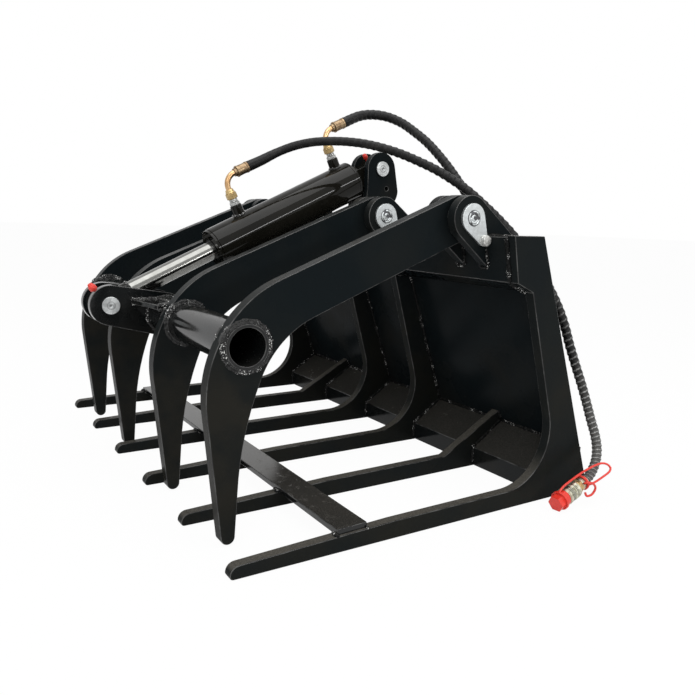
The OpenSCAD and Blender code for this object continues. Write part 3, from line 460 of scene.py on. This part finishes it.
# ---------------------------------------------------------------------------------------------
# Fittings on the cylinder
# On each welded boss stand a zinc plated adapter, a yellow passivated swivel nut, a bent tube
# and a crimped ferrule. Red plastic caps cover the grease nipples of both eyes.
# ---------------------------------------------------------------------------------------------
TIP_TO_MIDDLE = 364.77
UP, ACROSS = Vector((0, 0, 1)), Vector((1, 0, 0))


def spot(x, y, z):
    """A point from its place across, its distance from the tine tips and its height, in mm."""
    return Vector((x, y - TIP_TO_MIDDLE, z)) / 1000


def turnings(name, body, material, parts, edge=0.0004):
    """One piece of turned or hexagonal bodies: (foot, axis, sides, (run, radius) pairs in mm)."""
    corners, faces = [], []
    for foot, axis, sides, profile in parts:
        side = (ACROSS if abs(axis.x) < 0.9 else UP).cross(axis).normalized()
        other, start = axis.cross(side), len(corners)
        for run, radius in profile:
            for k in range(sides):
                a = tau * (k + 0.5) / sides
                out = cos(a) * side + sin(a) * other
                corners.append(foot + (run * axis + radius * out) / 1000)
        faces += tube_faces(len(profile), sides, start)
    piece = new_piece(name, corners, faces, material)
    ease(piece, edge)
    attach(piece, body)
    return piece


bolt_zinc = metal("bolt_zinc", (0.66, 0.67, 0.66), (0.28, 0.28, 0.27), 0.26, patch=300)
yellow_zinc = metal("yellow_zinc", (0.60, 0.45, 0.22), (0.36, 0.25, 0.11), 0.34)
bronze = metal("bronze", (0.34, 0.25, 0.15), (0.17, 0.11, 0.065), 0.34, patch=140)
copper_tube = metal("copper_tube", (0.66, 0.44, 0.24), (0.42, 0.25, 0.12), 0.22)
red_plastic = Finish("red_plastic", specular_ior_level=0.5, roughness=0.35)
red_plastic.set("Base Color", red_plastic.blend(red_plastic.cloud(90), (0.62, 0.02, 0.012, 1),
                                                (0.8, 0.05, 0.03, 1)))
red_plastic.set("Normal", red_plastic.bump(red_plastic.cloud(400), 0.00005, 0.5))

# The cylinder runs from its base pin down its slope, and its ports stand up at a right angle.
# Each bent tube ends behind its port, and the base eye's nipple leans a little forwards.
base_pin = spot(0, 586, 639)
slope, port_up = Vector((0, -0.90465, -0.42615)), Vector((0, -0.42615, 0.90465))
PORTS = (95, 355)
BEND_BACK, BEND_TOP = 25, 125
nipple_lean = Vector((0, -0.6157, 0.788))
adapters, nuts, ferrules, collars = [], [], [], []
for along in PORTS:
    foot = base_pin + along * slope / 1000
    adapters.append((foot, port_up, 6, [(63.6, 9.6), (64.4, 11), (70.2, 11), (71, 9.6)]))
    adapters.append((foot, port_up, 24, [
        (71, 8.6), (71.8, 8.6), (72.4, 9.3), (73.2, 8.5), (73.8, 9.3), (74.6, 8.5), (75.2, 9.3),
        (76, 8.5), (77.4, 8.5)]))
    nuts.append((foot, port_up, 6, [(77.6, 10.4), (78.6, 12), (89.5, 12), (90.6, 10.4)]))
    nuts.append((foot, port_up, 24, [
        (90.6, 10.2), (92, 10.2), (93, 9.2), (97.5, 8.4), (98.5, 7.4)]))
    foot = foot + (BEND_BACK * -slope + BEND_TOP * port_up) / 1000
    collars.append((foot, -slope, 24, [(0, 7.4), (0.6, 8.6), (4.4, 8.6), (5, 9.4), (6, 9.4)]))
    ferrules.append((foot, -slope, 24, [
        (6.1, 11.2), (6.8, 12), (9.5, 12), (10.5, 11.2), (28.5, 10.9), (29.5, 11.9), (33.2, 11.9),
        (34, 11.2)]))
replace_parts(turnings("hex_adapters", "barrel", bolt_zinc, adapters), "port_adapters")
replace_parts(turnings("chamfered_nuts", "barrel", yellow_zinc, nuts), "swivel_nuts")
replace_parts(turnings("crimped_shells", "barrel", bronze, ferrules + collars),
            "ferrules")
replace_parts(turnings("small_grease_cap", "barrel", red_plastic.material, [
    (base_pin, nipple_lean, 20, [
        (25.4, 3.6), (32, 3.6), (32.4, 5.2), (38, 5.4), (42, 4.2), (43.4, 2)])]),
    "base_grease_cap")
dress(["bent_tubes"], copper_tube)
dress(["rod_grease_cap"], red_plastic.material, 0.0005)


# ---------------------------------------------------------------------------------------------
# Couplers
# Quick couplers of yellow passivated steel end the hoses, each under a red dust cap on a strap.
# The near one's sliding sleeve has raised rings and, in its grooves, dark bands of painted
# shade. Its strap ends in a small loop.
# ---------------------------------------------------------------------------------------------
pale_zinc = metal("pale_zinc", (0.74, 0.73, 0.60), (0.30, 0.29, 0.20), 0.26, patch=170)
spring_steel = metal("spring_steel", (0.12, 0.12, 0.13), (0.06, 0.06, 0.06), 0.4)
dress(["hose_crimps"], pale_zinc, 0.0008)
dress(["coupler_1_body", "coupler_2_body"], yellow_zinc, 0.0006)
dress(["coupler_1_sleeve"], pale_zinc, 0.0006)
dress(["coupler_1_cap", "coupler_2_cap", "coupler_1_strap", "coupler_2_strap"],
      red_plastic.material, 0.0005)

crimp_end, coupler_axis = Vector((0.579, 0.345, 0.0412)), Vector((0.1171, -0.9541, -0.2756))
coupler_axis.normalize()
# In mm from the crimp's end
RAISED_AT, GROOVES_AT = (36.5, 44, 60.5), (41, 49.5, 52.5, 55.5)
turnings("coupler_1_sleeve_rings", "sleeve", pale_zinc, [
    (crimp_end, coupler_axis, 40, [
        (place, 16), (place + 0.4, 16.9), (place + 2.6, 16.9), (place + 3, 16)])
    for place in RAISED_AT], 0.0002)
# Painted shade: thin dark bands of spring steel where the sleeve's grooves lie
turnings("coupler_1_sleeve_groove_shade", "sleeve", spring_steel, [
    (crimp_end, coupler_axis, 40, [
        (place, 16.05), (place + 0.2, 16.2), (place + 1.2, 16.2), (place + 1.4, 16.05)])
    for place in GROOVES_AT], 0.0)
TAIL_R, TAIL_SIDES = 0.0022, 10
tail_route = [(592, 330, 44), (598, 333, 46.5), (600, 342, 44.3), (600, 351, 38), (600, 353, 30.3),
              (599, 347, 21.5), (598, 339, 19), (597, 333, 20), (594, 332, 26)]
tail = [point for point, run in evenly(spline([Vector(p) / 1000 for p in tail_route], 8), 0.002)]
corners = []
for point, (along, side, up) in zip(tail, directions(tail, (1, 0, 0))):
    for k in range(TAIL_SIDES):
        a = tau * k / TAIL_SIDES
        corners.append(point + TAIL_R * (cos(a) * side + sin(a) * up))
strap_tail = new_piece("coupler_1_strap_tail", corners, tube_faces(len(tail), TAIL_SIDES),
                       red_plastic.material)
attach(strap_tail, "frame")


# ---------------------------------------------------------------------------------------------
# Weld beads of the frame and the jaw
# Every plate is held by fillet welds, laid by hand and painted over. A bead is 8 to 9 mm wide,
# with a ripple every 4 mm, an uneven edge and painted glints: bright specks in its colour.
# ---------------------------------------------------------------------------------------------
REARWARD = Vector((0, 1, 0))
BEAD_SIDES, BEAD_STEP = 8, 0.0013


def loop(centre, first, second, radius, start=0, end=tau, count=48):
    """Points on a circle, or on an arc of it, from one direction towards another."""
    turns = (start + (end - start) * i / count for i in range(count + 1))
    return [centre + radius * (cos(a) * first + sin(a) * second) for a in turns]


def side_loop(x, middle, radius, *arc):
    """A loop in the side view, whose middle is a distance from the tine tips and a height."""
    return loop(spot(x, *middle), REARWARD, UP, radius, *arc)


def beads(name, body, runs, girth, material, ripple=0.0042):
    """One piece of weld beads, each along a line of points."""
    corners, faces = [], []
    for number, run in enumerate(runs):
        closed = (run[0] - run[-1]).length < 0.00001
        line = [point for point, gone in evenly(run, BEAD_STEP)]
        if closed:
            line.pop()
        along = (line[1] - line[0]).normalized()
        side = min((UP, ACROSS, REARWARD), key=lambda v: abs(v.dot(along)))
        start, last = len(corners), len(line) - 1
        for i, (point, (along, side, up)) in enumerate(zip(line, directions(line, side, closed))):
            uneven = noise.noise(point * 120 + number * ACROSS) + 0.7 * noise.noise(point * 330)
            crest = cos(tau * (i * BEAD_STEP / ripple + 0.5 * noise.noise(point * 60)))
            near_end = 1 if closed else min(1, 0.45 + 0.2 * min(i, last - i))
            radius = girth * near_end * (1 + 0.06 * crest + 0.5 * uneven)
            slump = 0.09 * ripple * crest
            for k in range(BEAD_SIDES):
                a = tau * k / BEAD_SIDES
                corners.append(point + radius * (cos(a) * side + sin(a) * up)
                               + slump * cos(2 * a) * along)
        faces += tube_faces(len(line), BEAD_SIDES, start, closed)
    piece = new_piece(name, corners, faces, material)
    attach(piece, body)
    return piece


seam_paint = enamel("seam_paint", (0.003, 0.0035, 0.0035), (0.006, 0.006, 0.0055), 0.12, 0.10,
                    lumps=0.6, glints=0.8)
weld_paint = enamel("weld_paint", (0.003, 0.0035, 0.0035), (0.007, 0.007, 0.0065), 0.05, 0.4,
                    lumps=1.0, glints=1.0)

# Places across the grapple in mm: middles of arms and tines, faces of plates, and the inner
# and outer faces of a pair of lugs from its middle
ARMS = (-420, -153, 153, 420)
TINES = (-525, -315, -105, 105, 315, 525)
HALF_TINE, HALF_ARM = 10, 12.5
RIB_FACES, GUSSET_FACES, SIDE_FACES = (-115, -95, 95, 115), (-325, -305, 305, 325), (-515, 515)
ARM_LUG_IN, ARM_LUG_OUT = 21.5, 41.5
CLEVIS_IN, CLEVIS_OUT = 22, 38
ATTACH_HALF = 490
# Places in the side view, as distance from the tine tips and height
MEMBER_TOP, MEMBER_FOOT, LIMB_TOP = (525, 500), (541, 420), (579.4, 403)
LUG_FOOT, LUG_REAR, CYLINDER_LUG_FRONT = (536.4, 443), (596, 500), (537, 500)
BLADE_TOP, BLADE_FOOT = (655, 42), (655, 8)
DECK_TOP, RIB_TOP, GUSSET_TOP = 94, 403, 116
STRIP_FRONT, STRIP_REAR = 184, 241
PIVOT, TUBE = (490, 531), (71, 324)
BACK_TOP, BACK_LEAN, BACK_THICK = (587.39, 503), 0.35609, 10.6


def on_back(x, z, behind=0.0):
    """A point on the leaning back plate's front face, or so far behind it."""
    y, top = BACK_TOP
    return spot(x, y + BACK_LEAN * (top - z) + behind, z)


frame_runs = []
for x in SIDE_FACES:
    frame_runs += [[spot(x, *MEMBER_FOOT), spot(x, *MEMBER_TOP)],
                   [spot(x, *MEMBER_FOOT), spot(x, *LIMB_TOP), on_back(x, RIB_TOP)]]
for x in sorted(RIB_FACES + SIDE_FACES):
    frame_runs.append([on_back(x, RIB_TOP), on_back(x, DECK_TOP)])
for x in RIB_FACES:
    frame_runs.append([spot(x, *LIMB_TOP), on_back(x, RIB_TOP)])
for x in GUSSET_FACES:
    frame_runs.append([on_back(x, GUSSET_TOP), on_back(x, DECK_TOP)])
for x in sorted(RIB_FACES + GUSSET_FACES + SIDE_FACES):
    frame_runs.append([on_back(x, DECK_TOP), spot(x, *BLADE_TOP), spot(x, *BLADE_FOOT)])
for left, right in zip(TINES, TINES[1:]):
    frame_runs.append([on_back(left + HALF_TINE, DECK_TOP), on_back(right - HALF_TINE, DECK_TOP)])
# Round the cross strip on each tine, whose top rises towards the rear
for x in TINES:
    for y, z in ((STRIP_FRONT, 27.3), (STRIP_REAR, 29.4)):
        frame_runs.append([spot(x - HALF_TINE, y, z), spot(x + HALF_TINE, y, z)])
    for face in (x - HALF_TINE, x + HALF_TINE):
        if abs(face) < TINES[-1]:
            frame_runs.append([spot(face, STRIP_FRONT, 26.5), spot(face, STRIP_REAR, 28.5)])
for arm in ARMS:
    for x in (arm - ARM_LUG_OUT, arm - ARM_LUG_IN, arm + ARM_LUG_IN, arm + ARM_LUG_OUT):
        frame_runs.append([spot(x, *LUG_REAR), spot(x, *MEMBER_TOP)])
        frame_runs.append([spot(x, *MEMBER_TOP), spot(x, *LUG_FOOT)])
    for side in (-1, 1):
        frame_runs.append([spot(arm + side * ARM_LUG_IN, *LUG_FOOT),
                           spot(arm + side * ARM_LUG_OUT, *LUG_FOOT)])
for side in (-1, 1):
    near, far = side * CLEVIS_IN, side * CLEVIS_OUT
    frame_runs.append([spot(near, *LUG_REAR), spot(near, *CYLINDER_LUG_FRONT),
                       spot(far, *CYLINDER_LUG_FRONT), spot(far, *LUG_REAR)])
# Above and below the hook lip and the lock ledge, on the back plate's rear face
for z in (440, 428, 69, 57):
    frame_runs.append([on_back(-ATTACH_HALF, z, BACK_THICK), on_back(ATTACH_HALF, z, BACK_THICK)])
beads("frame_welds", "frame", frame_runs, 0.0044, seam_paint)

# Two beads round the cross tube and one round the hub, on both faces of each arm
jaw_runs = []
for arm in ARMS:
    for face in (-HALF_ARM, HALF_ARM):
        jaw_runs.append(side_loop(arm + face, TUBE, 0.0375))
        jaw_runs.append(side_loop(arm + face * 0.85, TUBE, 0.0415))
        jaw_runs.append(side_loop(arm + face, PIVOT, 0.026))
for side in (-1, 1):
    near, far, arm_face = side * CLEVIS_IN, side * CLEVIS_OUT, side * (ARMS[2] - HALF_ARM)
    jaw_runs.append(side_loop(near, TUBE, 0.0365))
    jaw_runs.append(side_loop(far, TUBE, 0.0365))
    # Round the gusset between clevis and arm, above it and below
    for z, rear in ((356.5, 53), (347.5, 42)):
        jaw_runs.append([spot(far, 3, z), spot(far, rear, z), spot(arm_face, rear, z),
                         spot(arm_face, 23, z)])
beads("jaw_welds", "jaw", jaw_runs, 0.0042, weld_paint)


# ---------------------------------------------------------------------------------------------
# Pins and keepers
# Each arm turns on a zinc plated pin, plug welded into a teardrop keeper plate that one bolt
# holds. The cylinder swings on headed pins of bright turned steel with rings of spring steel.
# ---------------------------------------------------------------------------------------------
def turned(name, centre):
    """Bright steel with the fine rings of the lathe round an axis that runs across."""
    made = Finish(name, metallic=1.0)
    off = made.node("ShaderNodeVectorMath", {"operation": "SUBTRACT"},
                    {0: made.place(), 1: centre})
    flat = made.node("ShaderNodeVectorMath", {"operation": "MULTIPLY"}, {0: off, 1: (0, 1, 1)})
    radius = made.node("ShaderNodeVectorMath", {"operation": "LENGTH"}, {0: flat}, out="Value")
    rings = 0.5 + 0.5 * made.node("ShaderNodeMath", {"operation": "SINE"}, {0: radius * 5200.0})
    patches = made.between(made.cloud(180, 5), 0.3, 0.7)
    # Painted shade: dark rings where the step between 7 and 8 mm from the axis and the dimple in
    # the middle would lie in shade
    step = made.between(radius, 0.0062, 0.0068) * made.between(radius, 0.0086, 0.0080)
    step_and_dimple_shade = 0.55 * step + 0.8 * made.between(radius, 0.0022, 0.0016)
    bright = made.blend(rings * 0.6 + 0.4 * patches, (0.36, 0.37, 0.37, 1), (0.62, 0.64, 0.64, 1))
    made.set("Base Color", made.blend(step_and_dimple_shade, bright, (0.12, 0.12, 0.12, 1)))
    made.set("Roughness", 0.42 - 0.14 * rings + 0.1 * patches)
    made.set("Normal", made.bump(rings, 0.00015, 0.6))
    return made.material


zinc = metal("zinc", (0.60, 0.63, 0.64), (0.47, 0.49, 0.49), 0.44, patch=130)
dull_bolt_zinc = metal("dull_bolt_zinc", (0.85, 0.85, 0.83), (0.45, 0.45, 0.43), 0.55, patch=300)
dress(["arm_pin_1", "arm_pin_2", "arm_pin_3", "arm_pin_4"], zinc, 0.0009)
dress(["keeper_bolts"], dull_bolt_zinc, 0.0007)
dress(["base_pin"], turned("bright_pin_base", base_pin), 0.0010)
dress(["rod_pin"], turned("bright_pin_rod", spot(0, -36, 346)), 0.0010)
dress(["base_pin_ring", "rod_pin_ring"], spring_steel, 0.0005)

# The keeper's face is 47.5 mm from the arm's middle; a dark seat and its rim lie under the weld
PLUG_X, RIM_X = 47.6, 47.4
rims = [side_loop(arm + RIM_X, PIVOT, 0.0137) for arm in ARMS]
plugs = []
for arm in ARMS:
    for start in (0.2, 2.3, 4.4):
        plugs.append(side_loop(arm + PLUG_X, PIVOT, 0.0115, start, start + 1.7, 16))
    plugs.append(side_loop(arm + PLUG_X, PIVOT, 0.0045, 0.6, 5.2, 16))
    plugs.append(side_loop(arm + PLUG_X, PIVOT, 0.0080, 3.0, 6.0, 16))
turnings("keeper_plug_seats", "frame", spring_steel, [
    (spot(arm, *PIVOT), ACROSS, 32, [(46.9, 13.4), (47.5, 13.2), (47.7, 11)]) for arm in ARMS],
    0.0)
beads("keeper_plug_edges", "frame", rims, 0.0009, spring_steel, 0.01)
beads("keeper_plug_welds", "frame", plugs, 0.0021, zinc, 0.003)


# ---------------------------------------------------------------------------------------------
# Weld beads of the cylinder
# A bead lies round the foot of each port boss, saddle shaped on the round barrel, and one
# where the eye joins the rod.
# ---------------------------------------------------------------------------------------------
BARREL_R, BOSS_R, ROD_NECK = 43.5, 12.5, 0.6356
saddles = []
for along in PORTS:
    ring = []
    for i in range(49):
        x, run = BOSS_R * cos(tau * i / 48), BOSS_R * sin(tau * i / 48)
        height = sqrt(BARREL_R ** 2 - x * x)
        ring.append(base_pin + x / 1000 * ACROSS + (along + run) / 1000 * slope
                    + height / 1000 * port_up)
    saddles.append(ring)
beads("port_welds", "barrel", saddles, 0.003, weld_paint)
beads("rod_eye_weld", "rod", [loop(base_pin + ROD_NECK * slope, ACROSS, port_up, 0.0196)], 0.0028,
      weld_paint)


# ---------------------------------------------------------------------------------------------
# Floor, background and lights
# A white sweep, which camera and mirror rays see as plain white apart from the grapple's own
# shadow, under a wide softbox above, a smaller one at the front and a strip at the right.
# ---------------------------------------------------------------------------------------------
def seen_white(net, lit, share):
    """What is lit, mixed with plain white for the rays that see it and don't light by it."""
    rays = [net.node("ShaderNodeLightPath", out=f"Is {kind} Ray")
            for kind in ("Camera", "Glossy", "Transmission")]
    white = net.node("ShaderNodeEmission", inputs={"Color": grey(1), "Strength": 1.0})
    return net.node("ShaderNodeMixShader",
                    inputs={0: share * (rays[0] + rays[1] + rays[2]), 1: lit, 2: white})


world = bpy.data.worlds.new("studio")
bpy.context.scene.world = world
world.use_nodes = True
world.node_tree.nodes.clear()
sky = Net(world.node_tree)
ambient = sky.node("ShaderNodeBackground", inputs={"Color": grey(1), "Strength": 0.45})
sky.node("ShaderNodeOutputWorld", inputs={"Surface": seen_white(sky, ambient, 1.0)})

# The small share of the lit floor that is left keeps the grapple's shadow
WHITE_SHARE = 0.965
ground = Finish("pale_floor", base_color=grey(0.9), roughness=0.9, specular_ior_level=0.0)
lit_floor = Value(ground, ground.shader.outputs[0])
ground.feed(ground.tree.nodes["Material Output"], "Surface",
            seen_white(ground, lit_floor, WHITE_SHARE))
REACH = 30
floor_corners = [(-REACH, -REACH, 0), (REACH, -REACH, 0), (REACH, REACH, 0), (-REACH, REACH, 0)]
floor = new_piece("floor", floor_corners, [(0, 1, 2, 3)], ground.material, smooth=False)
floor.location.z = -0.0005


def lamp(name, place, aim, size, power, lengthwise=(1, 0, 0)):
    """A softbox at a place, turned to an aim, with its first side along a direction."""
    light = bpy.data.lights.new(name, "AREA")
    light.shape, light.size, light.size_y = "RECTANGLE", *size
    light.energy = power
    made = bpy.data.objects.new(name, light)
    bpy.context.scene.collection.objects.link(made)
    backwards = (Vector(place) - Vector(aim)).normalized()
    side = Vector(lengthwise)
    side = (side - side.dot(backwards) * backwards).normalized()
    made.matrix_world = Matrix.Translation(place) @ Matrix(
        (side, backwards.cross(side), backwards)).transposed().to_4x4()


lamp("softbox_above", (0.6, -0.2, 2.9), (0, 0, 0.3), (2.6, 2.6), 60)
lamp("softbox_front", (2.6, -2.6, 1.9), (0, 0, 0.3), (1.6, 1.6), 28)
# The barrel mirrors this one as a thin bright line
lamp("strip_right", (2.395, 0.787, 1.18), (0, -0.04, 0.52), (1.25, 0.12), 12,
     (0.25, -0.926, -0.407))

bpy.context.scene.view_settings.view_transform = "Standard"
